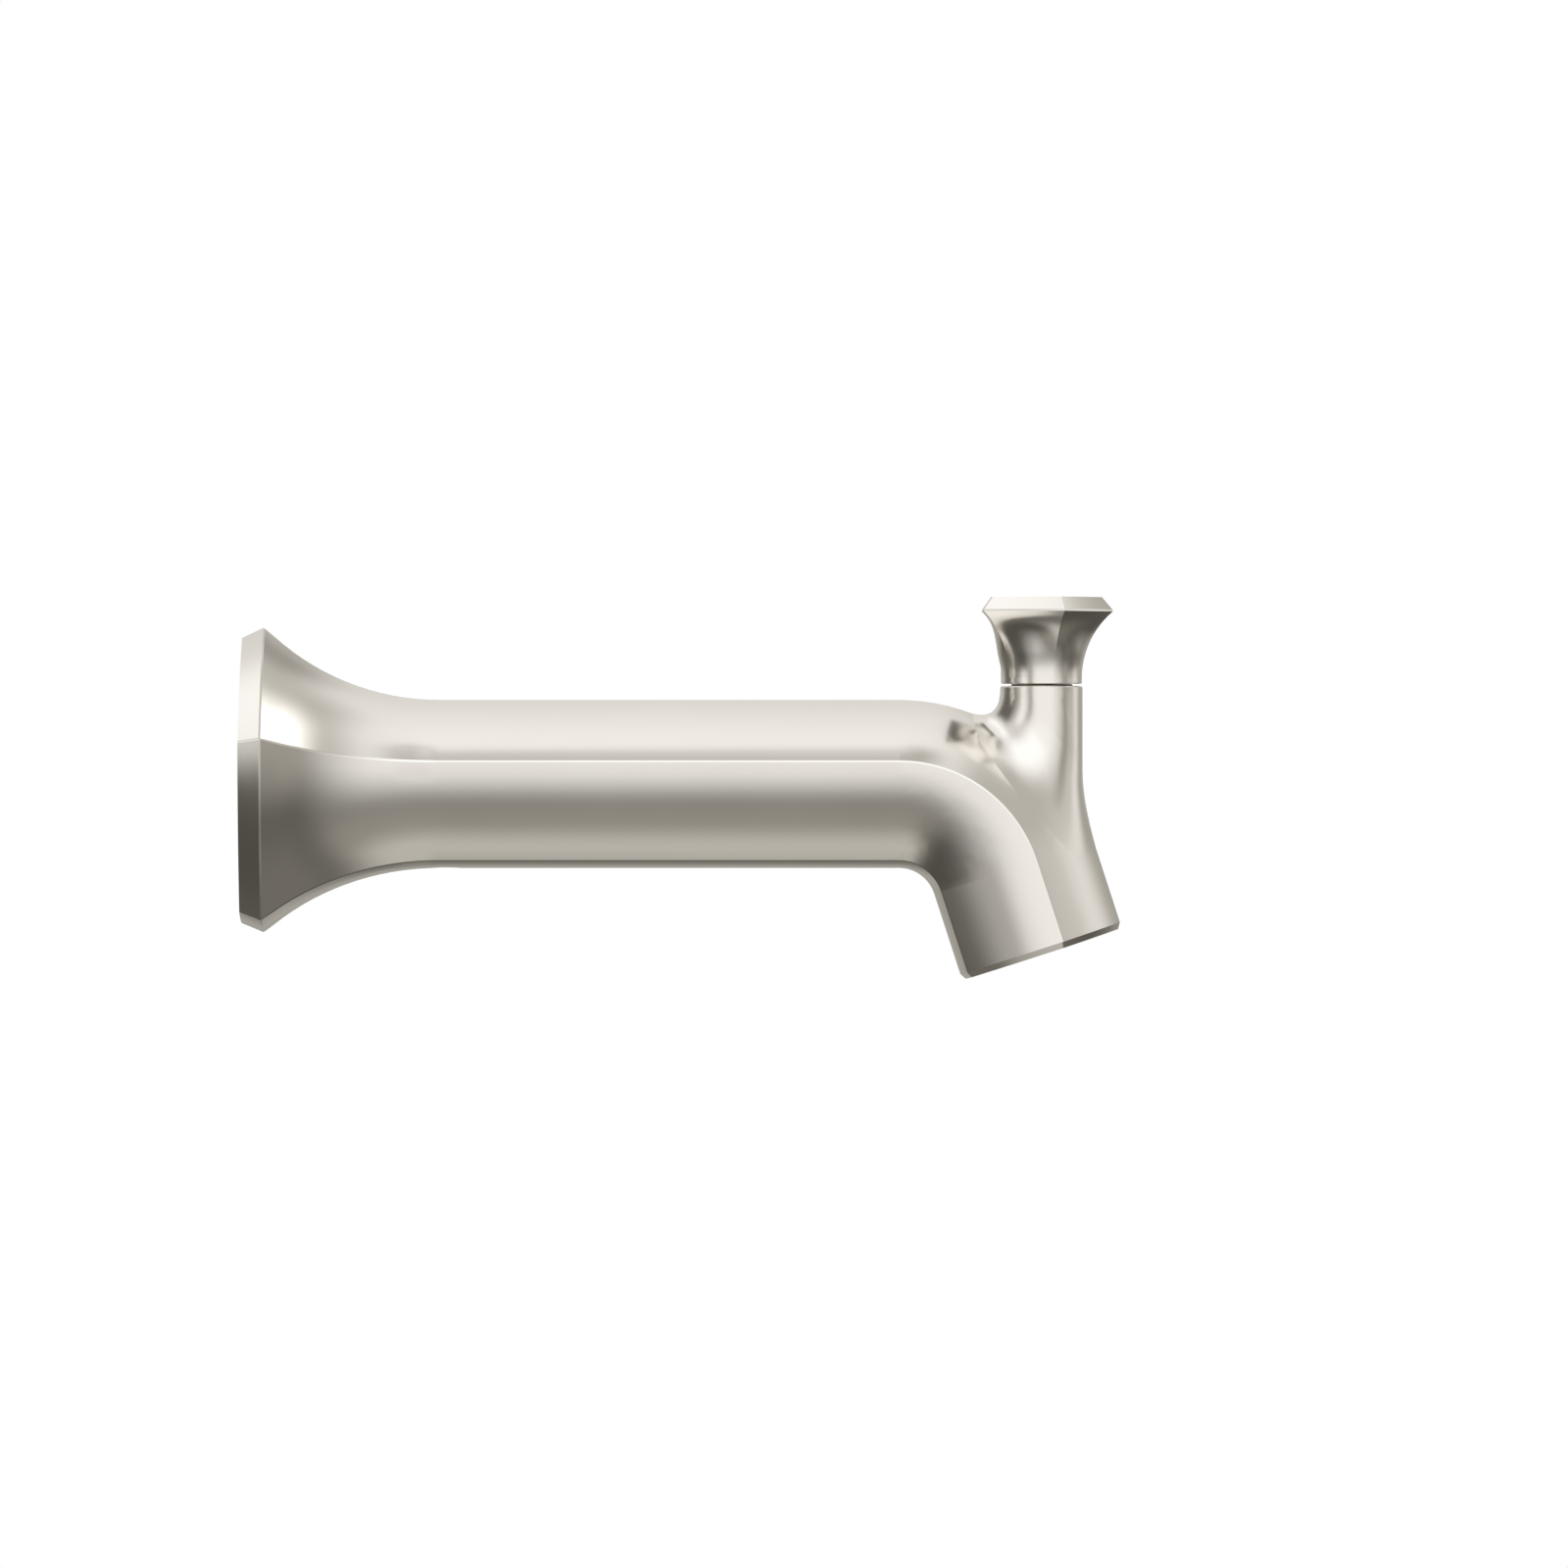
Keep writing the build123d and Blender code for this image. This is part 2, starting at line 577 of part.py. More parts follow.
# ---- piston: balances the water pressure, so that the raised valve stays shut ----
piston_radius = piston_bore - running_fit
piston_seal_z = piston_foot + piston_height / 2
with BuildPart() as diverter_piston:
    ring(neck_plane(piston_foot), piston_radius, rod_low_radius + static_fit, piston_height)
    ring(neck_plane(piston_seal_z - seal_groove_width / 2), piston_bore, piston_radius - seal_section,
         seal_groove_width, Mode.SUBTRACT)
save(diverter_piston, "diverter_piston")

with BuildPart() as piston_seal:
    ring(neck_plane(piston_seal_z - seal_section / 2), piston_radius, piston_radius - seal_section, seal_section)
save(piston_seal, "piston_seal")

with BuildPart() as piston_clip:
    ring(neck_plane(piston_foot - clip_thickness), clip_radius, rod_low_radius - clip_bite + static_fit,
         clip_thickness)
    with BuildSketch(neck_plane(piston_foot - clip_thickness)) as clip_mouth:
        with Locations((clip_radius, 0)):
            Rectangle(2 * clip_radius, 2 * (rod_low_radius - clip_bite))
    extrude(clip_mouth.sketch, amount=clip_thickness, mode=Mode.SUBTRACT)
save(piston_clip, "piston_clip")

# ---- valve: plate, rubber washer and disc, held on the rod's tail by a nut ----
tail_hole = rod_tail_radius + static_fit
with BuildPart() as washer_plate:
    ring(neck_plane(washer_top), plate_radius, tail_hole, plate_thickness)
save(washer_plate, "washer_plate")

with BuildPart() as valve_washer:
    ring(neck_plane(washer_foot), washer_radius, tail_hole, washer_thickness)
save(valve_washer, "valve_washer")

with BuildPart() as valve_disc:
    ring(neck_plane(disc_foot), disc_radius, tail_hole, disc_thickness)
save(valve_disc, "valve_disc")

with BuildPart() as valve_nut:
    with BuildSketch(neck_plane(nut_foot)) as nut_face:
        RegularPolygon(nut_flats / 2, 6, major_radius=False)
        Circle(tail_hole, mode=Mode.SUBTRACT)
    extrude(nut_face.sketch, amount=nut_height)
save(valve_nut, "valve_nut")

# ---- stream straightener: a vaned plastic ring in the outlet, held by a sprung ring ----
straightener_radius = outlet_bore - static_fit
with BuildPart() as stream_straightener:
    for band_radius in (straightener_radius, (straightener_radius + straightener_hub) / 2, straightener_hub):
        ring(leg_plane(straightener_start), band_radius, band_radius - straightener_band, straightener_length)
    with BuildSketch(leg_plane(straightener_start)) as vanes:
        with PolarLocations((straightener_radius + straightener_hub - straightener_band) / 2, vane_count):
            Rectangle(straightener_radius - straightener_hub, vane_thickness)
    extrude(vanes.sketch, amount=straightener_length)
save(stream_straightener, "stream_straightener")

with BuildPart() as outlet_retaining_ring:
    ring(leg_plane(straightener_start + straightener_length), outlet_bore + retainer_bite - static_fit,
         outlet_bore + retainer_bite - retainer_width, retainer_thickness)
    with BuildSketch(leg_plane(straightener_start + straightener_length)) as outlet_ring_split:
        with Locations((0, -outlet_bore)):
            Rectangle(2 * retainer_width, 2 * retainer_width)
    extrude(outlet_ring_split.sketch, amount=retainer_thickness, mode=Mode.SUBTRACT)
save(outlet_retaining_ring, "outlet_retaining_ring")
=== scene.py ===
import bpy
import math
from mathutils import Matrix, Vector


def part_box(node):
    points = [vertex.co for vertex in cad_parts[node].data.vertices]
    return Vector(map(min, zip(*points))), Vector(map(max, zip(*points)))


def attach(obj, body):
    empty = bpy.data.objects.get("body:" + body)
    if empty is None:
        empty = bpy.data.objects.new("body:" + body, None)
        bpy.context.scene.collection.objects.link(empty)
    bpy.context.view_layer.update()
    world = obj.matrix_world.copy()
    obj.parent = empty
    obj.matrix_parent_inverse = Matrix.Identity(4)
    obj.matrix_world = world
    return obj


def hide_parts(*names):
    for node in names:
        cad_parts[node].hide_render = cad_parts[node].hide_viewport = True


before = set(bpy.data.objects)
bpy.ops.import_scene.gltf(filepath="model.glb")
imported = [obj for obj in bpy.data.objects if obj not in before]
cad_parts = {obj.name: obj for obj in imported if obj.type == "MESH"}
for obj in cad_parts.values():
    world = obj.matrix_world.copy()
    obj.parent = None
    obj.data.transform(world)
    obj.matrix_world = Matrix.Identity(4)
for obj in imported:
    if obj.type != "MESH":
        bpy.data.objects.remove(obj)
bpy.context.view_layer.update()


# Spout body: one hollow casting, ground and plated in satin nickel. The flange, shaft, elbow,
# neck and outlet are all the same piece of metal, and it hangs on the copper stub in the wall.
def add_node(tree, kind, wires=(), **settings):
    """A node with its settings made and its inputs set or wired."""
    fresh = tree.nodes.new(kind)
    for name, value in settings.items():
        setattr(fresh, name, value)
    for key, value in dict(wires).items():
        if isinstance(value, bpy.types.NodeSocket):
            tree.links.new(value, fresh.inputs[key])
        else:
            fresh.inputs[key].default_value = value
    return fresh


def calc(tree, operation, *values):
    """The result of one Math node."""
    return add_node(tree, "ShaderNodeMath", enumerate(values), operation=operation).outputs[0]


def open_group(name, kind, inputs, outputs):
    """A node group with named sockets: its tree, its input node's outputs and its output node."""
    tree = bpy.data.node_groups.new(name, kind)
    for side, sockets in (("INPUT", inputs), ("OUTPUT", outputs)):
        for label, sort, *value in sockets:
            socket = tree.interface.new_socket(label, in_out=side, socket_type="NodeSocket" + sort)
            if value:
                socket.default_value = value[0]
    return tree, tree.nodes.new("NodeGroupInput").outputs, tree.nodes.new("NodeGroupOutput")


def close_group(tree, ending, **results):
    """Wires a group's results to its outputs."""
    for label, socket in results.items():
        tree.links.new(socket, ending.inputs[label])


def effect(tree, group, **values):
    """A shader group placed in a material, with its values for that material."""
    spot = tree.nodes.new("ShaderNodeGroup")
    spot.node_tree = group
    for label, value in values.items():
        if isinstance(value, bpy.types.NodeSocket):
            tree.links.new(value, spot.inputs[label])
        else:
            spot.inputs[label].default_value = value
    return spot.outputs


# fine grain: what bead blasting, plating or a mould leaves, with slow patches from handling
grain_group, given, ending = open_group(
    "fine_grain", "ShaderNodeTree",
    [("Place", "Vector"), ("Grain Size", "Float", 0.0003), ("Patch Size", "Float", 0.02)],
    [("Grain", "Float"), ("Patches", "Float")])
fine, slow = [
    add_node(grain_group, "ShaderNodeTexNoise",
             {"Vector": given["Place"], "Detail": detail, "Scale": calc(grain_group, "DIVIDE", 1.0, given[size])})
    for size, detail in (("Grain Size", 2.0), ("Patch Size", 4.0))]
close_group(grain_group, ending, Grain=fine.outputs["Fac"], Patches=slow.outputs["Fac"])

# edge rub and painted highlight: a mask of the narrow lines along arrises. Their colour is brightened there as a
# painted highlight standing for the glint on the rounded ridges, and wiping has polished them
edge_rub_highlight_group, given, ending = open_group(
    "edge_rub", "ShaderNodeTree", [("Width", "Float", 0.0004), ("Reach", "Float", 0.25)], [("Rub", "Float")])
rounded = add_node(edge_rub_highlight_group, "ShaderNodeBevel", {"Radius": given["Width"]}, samples=4)
face = add_node(edge_rub_highlight_group, "ShaderNodeNewGeometry")
agree = add_node(edge_rub_highlight_group, "ShaderNodeVectorMath", {0: rounded.outputs["Normal"], 1: face.outputs["Normal"]},
                 operation="DOT_PRODUCT")
rub = add_node(edge_rub_highlight_group, "ShaderNodeMapRange",
               {"Value": calc(edge_rub_highlight_group, "SUBTRACT", 1.0, agree.outputs["Value"]), "From Min": 0.01,
                "From Max": given["Reach"], "To Min": 0.0, "To Max": 1.0}, interpolation_type="SMOOTHSTEP")
close_group(edge_rub_highlight_group, ending, Rub=rub.outputs["Result"])


def open_material(name):
    """A material with one Principled shader: itself, its tree, the shader and the piece's own coordinates."""
    finish = bpy.data.materials.new(name)
    finish.use_nodes = True
    tree = finish.node_tree
    shader = tree.nodes["Principled BSDF"]
    place = tree.nodes.new("ShaderNodeTexCoord").outputs["Object"]
    return finish, tree, shader, place


def spread(tree, value, low, high):
    """A mask of 0 to 1 turned into values from low to high."""
    return add_node(tree, "ShaderNodeMapRange", {"Value": value, "To Min": low, "To Max": high}).outputs["Result"]


def blend_colours(tree, mask, first, second):
    """The first colour where the mask is 0, the second where it is 1."""
    mixed = add_node(tree, "ShaderNodeMix", {"Factor": mask}, data_type="RGBA")
    for key, colour in (("A", first), ("B", second)):
        socket = [s for s in mixed.inputs if s.name == key and s.type == "RGBA"][0]
        if isinstance(colour, bpy.types.NodeSocket):
            tree.links.new(colour, socket)
        else:
            socket.default_value = (*colour, 1.0)
    return [s for s in mixed.outputs if s.type == "RGBA"][0]


def raise_surface(tree, shader, height, depth):
    """Relief of that depth in metres under the shader's normal."""
    bump = add_node(tree, "ShaderNodeBump", {"Height": height, "Distance": depth, "Strength": 1.0})
    tree.links.new(bump.outputs["Normal"], shader.inputs["Normal"])


def coat_node(node, finish):
    """The finish on every face of a CAD node."""
    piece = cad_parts[node]
    for spot in range(len(piece.material_slots)):
        piece.material_slots[spot].material = finish
    if not piece.material_slots:
        piece.data.materials.append(finish)


nickel_light = (0.90, 0.872, 0.828)
nickel_deep = (0.865, 0.83, 0.785)
# colour of the painted highlight along the arrises
nickel_painted_highlight = (0.93, 0.915, 0.885)
blast_height = 0.0000015        # relief left under the plating by blasting
nickel, tree, shader, place = open_material("satin_nickel_plate")
marks = effect(tree, grain_group, **{"Place": place, "Grain Size": 0.00022, "Patch Size": 0.03})
# painted highlight: the colour along the arrises is brightened to stand for the glint on their rounding; the lower
# roughness there is polish from wiping
rubbed_and_highlit = effect(tree, edge_rub_highlight_group, Width=0.0005, Reach=0.2)["Rub"]
tint = blend_colours(tree, marks["Patches"], nickel_deep, nickel_light)
tree.links.new(blend_colours(tree, rubbed_and_highlit, tint, nickel_painted_highlight), shader.inputs["Base Color"])
rough = calc(tree, "ADD", spread(tree, marks["Patches"], 0.15, 0.19),
             spread(tree, marks["Grain"], -0.015, 0.015))
tree.links.new(calc(tree, "MULTIPLY", rough, spread(tree, rubbed_and_highlit, 1.0, 0.7)), shader.inputs["Roughness"])
raise_surface(tree, shader, marks["Grain"], blast_height)
shader.inputs["Metallic"].default_value = 1.0
coat_node("spout_body", nickel)


# Wall gasket: die-cut from a sheet of closed-cell foam rubber and let into the back of the
# flange, where the tightened spout presses it against the wall.
foam_light = (0.055, 0.054, 0.052)
foam_dark = (0.030, 0.030, 0.031)
# painted shade: the colour inside the pores, darker than the skin, standing for the shade in the cells' hollows
pore_painted_shade = (0.012, 0.012, 0.012)
cells_per_metre = 1500.0
pore_depth = 0.00009
foam, tree, shader, place = open_material("foam_rubber")
marks = effect(tree, grain_group, **{"Place": place, "Grain Size": 0.00025, "Patch Size": 0.012})
cells = add_node(tree, "ShaderNodeTexVoronoi", {"Vector": place, "Scale": cells_per_metre, "Randomness": 1.0})
pores = add_node(tree, "ShaderNodeMapRange",
                 {"Value": cells.outputs["Distance"], "From Min": 0.15, "From Max": 0.5},
                 interpolation_type="SMOOTHSTEP").outputs["Result"]
skin = blend_colours(tree, marks["Patches"], foam_dark, foam_light)
# painted shade in the recessed pores, over the skin's own colour
tree.links.new(blend_colours(tree, pores, pore_painted_shade, skin), shader.inputs["Base Color"])
tree.links.new(spread(tree, pores, 0.95, 0.78), shader.inputs["Roughness"])
raise_surface(tree, shader, calc(tree, "MULTIPLY_ADD", marks["Grain"], 0.25, pores), pore_depth)
coat_node("wall_gasket", foam)


# Inlet adapter: turned from brass bar, pushed into the casting from behind. The copper stub
# slides into its bore, and the waterway tube plugs into its far end.
wander_per_metre = 2500.0       # how often the tool's grooves change depth
stains_per_metre = 420.0        # how often the colour changes from ring to ring
turning_group, given, ending = open_group(
    "turning_marks", "ShaderNodeTree",
    [("From Axis", "Vector"), ("Along", "Float"), ("Feed", "Float", 0.0002)],
    [("Groove", "Float"), ("Sweep", "Float")])
out = add_node(turning_group, "ShaderNodeVectorMath", {0: given["From Axis"]}, operation="LENGTH").outputs["Value"]
travel = calc(turning_group, "ADD", out, given["Along"])
wander = add_node(turning_group, "ShaderNodeTexNoise", {"W": travel, "Scale": wander_per_metre, "Detail": 3.0},
                  noise_dimensions="1D").outputs["Fac"]
turns = calc(turning_group, "MULTIPLY", calc(turning_group, "DIVIDE", travel, given["Feed"]), 2 * math.pi)
waves = calc(turning_group, "MULTIPLY_ADD", calc(turning_group, "SINE", turns), 0.5, 0.5)
sweep = add_node(turning_group, "ShaderNodeTexNoise", {"W": travel, "Scale": stains_per_metre, "Detail": 1.0},
                 noise_dimensions="1D").outputs["Fac"]
close_group(turning_group, ending, Groove=calc(turning_group, "MULTIPLY", waves, wander), Sweep=sweep)


def turn_about(tree, place, axis, centre, feed):
    """Tool marks round a lathe axis, given by its letter and a point that it passes through."""
    across = [0.0 if letter == axis else 1.0 for letter in "XYZ"]
    shifted = add_node(tree, "ShaderNodeVectorMath", {0: place, 1: centre}, operation="SUBTRACT").outputs["Vector"]
    flat = add_node(tree, "ShaderNodeVectorMath", {0: shifted, 1: across}, operation="MULTIPLY").outputs["Vector"]
    along = add_node(tree, "ShaderNodeSeparateXYZ", {0: shifted}).outputs[axis]
    return effect(tree, turning_group, **{"From Axis": flat, "Along": along, "Feed": feed})


def turned_metal(name, light, deep, roughness, axis, centre, feed, groove_depth):
    """Metal straight from the lathe: fine rings, and slow stains where it has been handled."""
    finish, tree, shader, place = open_material(name)
    rings = turn_about(tree, place, axis, centre, feed)
    marks = effect(tree, grain_group, **{"Place": place, "Grain Size": 0.0003, "Patch Size": 0.007})
    tint = blend_colours(tree, marks["Patches"], deep, light)
    darker = tuple(0.8 * part for part in deep)
    stained = blend_colours(tree, spread(tree, rings["Sweep"], 0.0, 0.5), tint, darker)
    tree.links.new(stained, shader.inputs["Base Color"])
    rough = calc(tree, "ADD", spread(tree, marks["Patches"], roughness * 0.8, roughness * 1.25),
                 spread(tree, rings["Groove"], -0.04, 0.04))
    tree.links.new(rough, shader.inputs["Roughness"])
    raise_surface(tree, shader, rings["Groove"], groove_depth)
    shader.inputs["Metallic"].default_value = 1.0
    return finish


inlet_brass = turned_metal("inlet_brass", light=(0.80, 0.60, 0.29), deep=(0.68, 0.46, 0.19), roughness=0.26,
                           axis="X", centre=(0.0, 0.0, 0.0), feed=0.00022, groove_depth=0.000006)
coat_node("inlet_adapter", inlet_brass)


# Rubber seals: moulded nitrile rings with a dull skin, greased before they are fitted. Two grip
# the copper stub, and the others close the ends of the waterway tube, the sleeve and the piston.
greased = (0.012, 0.012, 0.013)
bloomed = (0.032, 0.031, 0.030)
nitrile, tree, shader, place = open_material("nitrile_rubber")
marks = effect(tree, grain_group, **{"Place": place, "Grain Size": 0.00012, "Patch Size": 0.004})
tree.links.new(blend_colours(tree, marks["Patches"], greased, bloomed), shader.inputs["Base Color"])
tree.links.new(spread(tree, marks["Patches"], 0.34, 0.62), shader.inputs["Roughness"])
raise_surface(tree, shader, marks["Grain"], 0.000004)
for seal in ("inlet_o_rings", "tube_rear_o_ring", "tube_front_o_ring", "sleeve_upper_o_ring",
             "sleeve_lower_o_ring", "piston_seal", "valve_washer"):
    coat_node(seal, nitrile)


# Adapter retaining ring: a snap ring stamped from spring steel, with an eye at each end for the
# pliers. It springs into the groove behind the inlet adapter.
def times(tree, first, second):
    return calc(tree, "MULTIPLY", first, second)


def less(tree, first, second):
    return calc(tree, "SUBTRACT", first, second)


def vector(tree, **parts):
    """A vector from its X, Y and Z. Any that isn't given is 0."""
    return add_node(tree, "ShaderNodeCombineXYZ", parts).outputs[0]


def moved(tree, shape, **changes):
    """A shape that is shifted, turned or stretched."""
    return add_node(tree, "GeometryNodeTransform", {"Geometry": shape, **changes}).outputs[0]


def copies(tree, points, shape, **more):
    """A copy of a shape at each point, all in one mesh."""
    placed = add_node(tree, "GeometryNodeInstanceOnPoints", {"Points": points, "Instance": shape, **more})
    return add_node(tree, "GeometryNodeRealizeInstances", {"Geometry": placed.outputs[0]}).outputs[0]


def swept(tree, path, section, caps=False):
    """A section carried along a path, with its ends closed where the path has ends."""
    return add_node(tree, "GeometryNodeCurveToMesh",
                    {"Curve": path, "Profile Curve": section, "Fill Caps": caps}).outputs["Mesh"]


def open_shape(name, sizes):
    """A Geometry Nodes tree with named sizes, a place, a turn and a finish."""
    shared = [("Place", "Vector"), ("Turn", "Vector"), ("Finish", "Material")]
    return open_group(name, "GeometryNodeTree", sizes + shared, [("Geometry", "Geometry")])


def close_shape(tree, given, ending, geometry):
    """Puts the piece in its place, as one plain mesh in its finish."""
    placed = moved(tree, geometry, Translation=given["Place"], Rotation=given["Turn"])
    whole = add_node(tree, "GeometryNodeRealizeInstances", {"Geometry": placed})
    painted = add_node(tree, "GeometryNodeSetMaterial",
                       {"Geometry": whole.outputs[0], "Material": given["Finish"]})
    tree.links.new(painted.outputs[0], ending.inputs["Geometry"])


def join_shapes(tree, operation, first, *others):
    """First united with the others, or cut by them."""
    joint = add_node(tree, "GeometryNodeMeshBoolean", operation=operation, solver="EXACT")
    tree.links.new(first, joint.inputs["Mesh 1" if operation == "DIFFERENCE" else "Mesh 2"])
    for other in others:
        tree.links.new(other, joint.inputs["Mesh 2"])
    return joint.outputs["Mesh"]


def bar(tree, corners, radius, depth):
    """A round or many-sided bar along Z, centred on the origin."""
    return add_node(tree, "GeometryNodeMeshCylinder",
                    {"Vertices": corners, "Radius": radius, "Depth": depth}).outputs["Mesh"]


def rounded_section(tree, width, height, rounding):
    """The outline of a flat bar with rounded edges."""
    outline = add_node(tree, "GeometryNodeCurvePrimitiveQuadrilateral", {"Width": width, "Height": height})
    rounded = add_node(tree, "GeometryNodeFilletCurve",
                       {"Curve": outline.outputs["Curve"], "Radius": rounding, "Count": 3}, mode="POLY")
    return rounded.outputs["Curve"]


def build_piece(name, shape, body, slot, stands_for, angle=32.0, **sizes):
    """The plain mesh that a tree makes with these sizes, riding on its body in place of its CAD node."""
    piece = bpy.data.objects.new(name, bpy.data.meshes.new(name))
    bpy.context.scene.collection.objects.link(piece)
    growth = piece.modifiers.new(name, "NODES")
    growth.node_group = shape
    for socket in shape.interface.items_tree:
        if socket.in_out == "INPUT":
            growth[socket.identifier] = sizes[socket.name.replace(" ", "_")]
    bpy.context.view_layer.update()
    grown = piece.evaluated_get(bpy.context.evaluated_depsgraph_get())
    mesh = bpy.data.meshes.new_from_object(grown)
    piece.modifiers.remove(growth)
    piece.data = mesh
    mesh.shade_smooth()
    mesh.set_sharp_from_angle(angle=math.radians(angle))
    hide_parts(stands_for)
    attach(piece, body)


stamped_rounding = 0.0002       # soft edges that stamping and tumbling leave
eye_inset = 0.955               # the eyes' circle, as a share of the ring's
snap_shape, given, ending = open_shape("snap_ring", [
    ("Radius", "Float"), ("Width", "Float"), ("Thickness", "Float"), ("Gap Heading", "Float"), ("Gap", "Float"),
    ("Eye Radius", "Float"), ("Eye Hole", "Float")])
half_gap = times(snap_shape, given["Gap"], 0.5)
arc = add_node(snap_shape, "GeometryNodeCurveArc",
               {"Resolution": 120, "Radius": given["Radius"],
                "Start Angle": calc(snap_shape, "ADD", given["Gap Heading"], half_gap),
                "Sweep Angle": less(snap_shape, 2 * math.pi, given["Gap"])}).outputs["Curve"]
section = rounded_section(snap_shape, given["Width"], given["Thickness"], stamped_rounding)
strip = swept(snap_shape, arc, section, caps=True)
ends = add_node(snap_shape, "GeometryNodeCurveEndpointSelection", {"Start Size": 1, "End Size": 1})
drawn_in = moved(snap_shape, arc, Scale=vector(snap_shape, X=eye_inset, Y=eye_inset, Z=1.0))
eyes, holes = [
    copies(snap_shape, drawn_in, bar(snap_shape, 32, given[size], depth), Selection=ends.outputs["Selection"])
    for size, depth in (("Eye Radius", given["Thickness"]), ("Eye Hole", 0.01))]
whole_ring = join_shapes(snap_shape, "UNION", strip, eyes)
close_shape(snap_shape, given, ending, join_shapes(snap_shape, "DIFFERENCE", whole_ring, holes))

steel_light = (0.50, 0.49, 0.48)
steel_dark = (0.30, 0.295, 0.29)
# colour of the painted highlight along the ring's edges
steel_painted_highlight = (0.68, 0.67, 0.66)
spring_steel, tree, shader, place = open_material("spring_steel")
marks = effect(tree, grain_group, **{"Place": place, "Grain Size": 0.00018, "Patch Size": 0.006})
# painted highlight: the ring's edges are brightened in colour where their rounding would catch the light
rubbed_and_highlit = effect(tree, edge_rub_highlight_group, Width=0.0002, Reach=0.3)["Rub"]
tint = blend_colours(tree, marks["Patches"], steel_dark, steel_light)
tree.links.new(blend_colours(tree, rubbed_and_highlit, tint, steel_painted_highlight), shader.inputs["Base Color"])
tree.links.new(spread(tree, marks["Grain"], 0.24, 0.42), shader.inputs["Roughness"])
raise_surface(tree, shader, marks["Grain"], 0.000004)
shader.inputs["Metallic"].default_value = 1.0

snap_sizes = dict(Width=0.00215, Thickness=0.00115, Eye_Radius=0.0016, Eye_Hole=0.0006, Gap=0.30,
                  Finish=spring_steel)
low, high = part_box("adapter_retaining_ring")
build_piece("inlet_snap_ring", snap_shape, "spout", "stainless_steel", "adapter_retaining_ring",
            Radius=0.014675, Gap_Heading=math.pi, Place=((low[0] + high[0]) / 2, 0.0, 0.0),
            Turn=(0.0, math.pi / 2, 0.0), **snap_sizes)


# Inlet set screw: a stainless grub screw with a cup point, threaded up through the adapter from
# under the shaft. A hex key turns it until the point bites the copper stub.
root_share, crest_share = 0.2, 0.85     # where the thread's root ends and its crest starts, in half pitches
thread_sizes = [("Radius", "Float"), ("Length", "Float"), ("Pitch", "Float"), ("Depth", "Float"),
                ("Chamfer", "Float"), ("Rows", "Int"), ("Columns", "Int")]
thread_group, given, ending = open_group("threaded_bar", "GeometryNodeTree", thread_sizes, [("Mesh", "Geometry")])
blank = add_node(thread_group, "GeometryNodeMeshCylinder",
                 {"Vertices": given["Columns"], "Side Segments": given["Rows"], "Radius": given["Radius"],
                  "Depth": given["Length"]}).outputs["Mesh"]
here = add_node(thread_group, "GeometryNodeInputPosition").outputs[0]
where = add_node(thread_group, "ShaderNodeSeparateXYZ", {0: here}).outputs
around = calc(thread_group, "DIVIDE", calc(thread_group, "ARCTAN2", where["Y"], where["X"]), 2 * math.pi)
climbed = calc(thread_group, "DIVIDE", where["Z"], given["Pitch"])
phase = calc(thread_group, "FRACT", less(thread_group, climbed, around))
flank = times(thread_group, calc(thread_group, "ABSOLUTE", less(thread_group, phase, 0.5)), 2.0)
cut = add_node(thread_group, "ShaderNodeMapRange",
               {"Value": flank, "From Min": root_share, "From Max": crest_share, "To Min": 1.0, "To Max": 0.0})
thread_radius = less(thread_group, given["Radius"], times(thread_group, cut.outputs["Result"], given["Depth"]))
half_length = times(thread_group, given["Length"], 0.5)
to_end = less(thread_group, half_length, calc(thread_group, "ABSOLUTE", where["Z"]))
lost = calc(thread_group, "MAXIMUM", less(thread_group, given["Chamfer"], to_end), 0.0)
bevelled = less(thread_group, given["Radius"], lost)
reach = calc(thread_group, "DIVIDE", calc(thread_group, "MINIMUM", thread_radius, bevelled), given["Radius"])
new_place = vector(thread_group, X=times(thread_group, where["X"], reach),
                   Y=times(thread_group, where["Y"], reach), Z=where["Z"])
threaded = add_node(thread_group, "GeometryNodeSetPosition", {"Geometry": blank, "Position": new_place}).outputs[0]
close_group(thread_group, ending, Mesh=threaded)


def thread_bar(tree, given):
    """The threaded bar, with the sizes that this shape is given."""
    spot = add_node(tree, "GeometryNodeGroup", node_tree=thread_group)
    for label, _ in thread_sizes:
        tree.links.new(given[label], spot.inputs[label])
    return spot.outputs["Mesh"]


cup_radius, cup_depth = 0.55, 0.35      # the cup in the point, as shares of the screw's radius
cup_proud = 0.000001                    # the cup's cutter starts this far outside the point
grub_shape, given, ending = open_shape(
    "grub_screw", thread_sizes + [("Socket Radius", "Float"), ("Socket Depth", "Float")])
half_length = times(grub_shape, given["Length"], 0.5)
socket = bar(grub_shape, 6, given["Socket Radius"], times(grub_shape, given["Socket Depth"], 2.0))
socket = moved(grub_shape, socket, Translation=vector(grub_shape, Z=half_length))
cup = add_node(grub_shape, "GeometryNodeMeshCone",
               {"Vertices": 32, "Radius Top": 0.0, "Radius Bottom": times(grub_shape, given["Radius"], cup_radius),
                "Depth": times(grub_shape, given["Radius"], cup_depth)}).outputs["Mesh"]
cup_start = calc(grub_shape, "MULTIPLY_ADD", half_length, -1.0, -cup_proud)
cup = moved(grub_shape, cup, Translation=vector(grub_shape, Z=cup_start))
threaded = thread_bar(grub_shape, given)
close_shape(grub_shape, given, ending, join_shapes(grub_shape, "DIFFERENCE", threaded, socket, cup))

